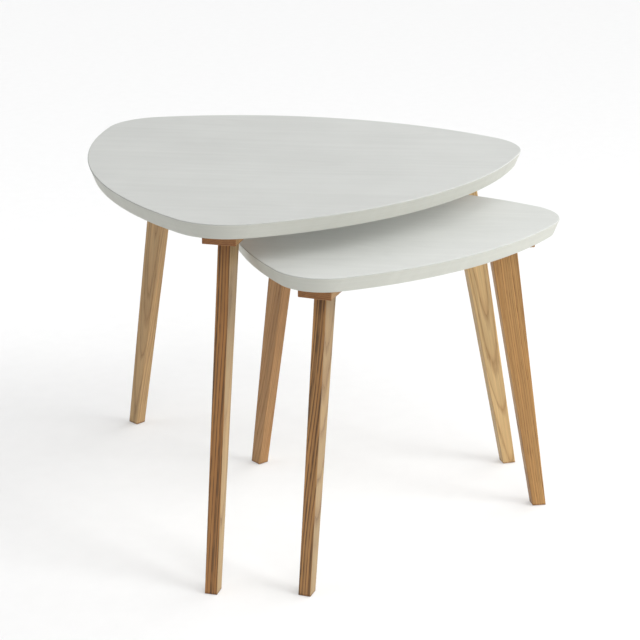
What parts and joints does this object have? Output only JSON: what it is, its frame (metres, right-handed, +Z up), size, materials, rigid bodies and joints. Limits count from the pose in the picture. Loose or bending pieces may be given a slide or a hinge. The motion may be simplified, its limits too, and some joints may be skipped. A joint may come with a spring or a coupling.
{
  "type": "nesting tables",
  "caption": "Pair of rounded-triangle side tables with painted tops on splayed oak legs; the lower, smaller table slides out from under the larger one.",
  "frame": {"origin": "on the floor, under the middle of the pair's bounding box with the small table pushed in", "axes": "+Z up; -Y is the way the small table pulls out, so +Y runs from the small table's front to the large table's back leg; +X to the right of someone who pulls it out from behind it, looking along +Y"},
  "size_m": [0.6064, 0.6862, 0.48],
  "materials": {
    "painted_wood": "satin off-white paint over wood, grain faintly visible",
    "oak": "oiled oak",
    "beech": "bare beech",
    "zinc_steel": "zinc plated",
    "insert_brass": "turned brass",
    "glide_plastic": "matte moulded plastic"
  },
  "bodies": {
    "large_table": {"large_top": "painted_wood", "large_leg_right": "oak", "large_leg_back": "oak", "large_leg_left": "oak", "large_block_right": "oak", "large_block_back": "oak", "large_block_left": "oak", "large_glide_right": "glide_plastic", "large_glide_back": "glide_plastic", "large_glide_left": "glide_plastic", "large_dowels": "beech", "large_leg_screws": "zinc_steel", "large_bolts": "zinc_steel", "large_inserts": "insert_brass"},
    "small_table": {"small_top": "painted_wood", "small_leg_right": "oak", "small_leg_back": "oak", "small_leg_left": "oak", "small_block_right": "oak", "small_block_back": "oak", "small_block_left": "oak", "small_glide_right": "glide_plastic", "small_glide_back": "glide_plastic", "small_glide_left": "glide_plastic", "small_dowels": "beech", "small_leg_screws": "zinc_steel", "small_bolts": "zinc_steel", "small_inserts": "insert_brass"}
  },
  "joints": [
    {"name": "small_table_slide", "type": "slide", "parent": "large_table", "child": "small_table", "axis": [0, -1, 0], "range_m": [0, 0.45]}
  ]
}
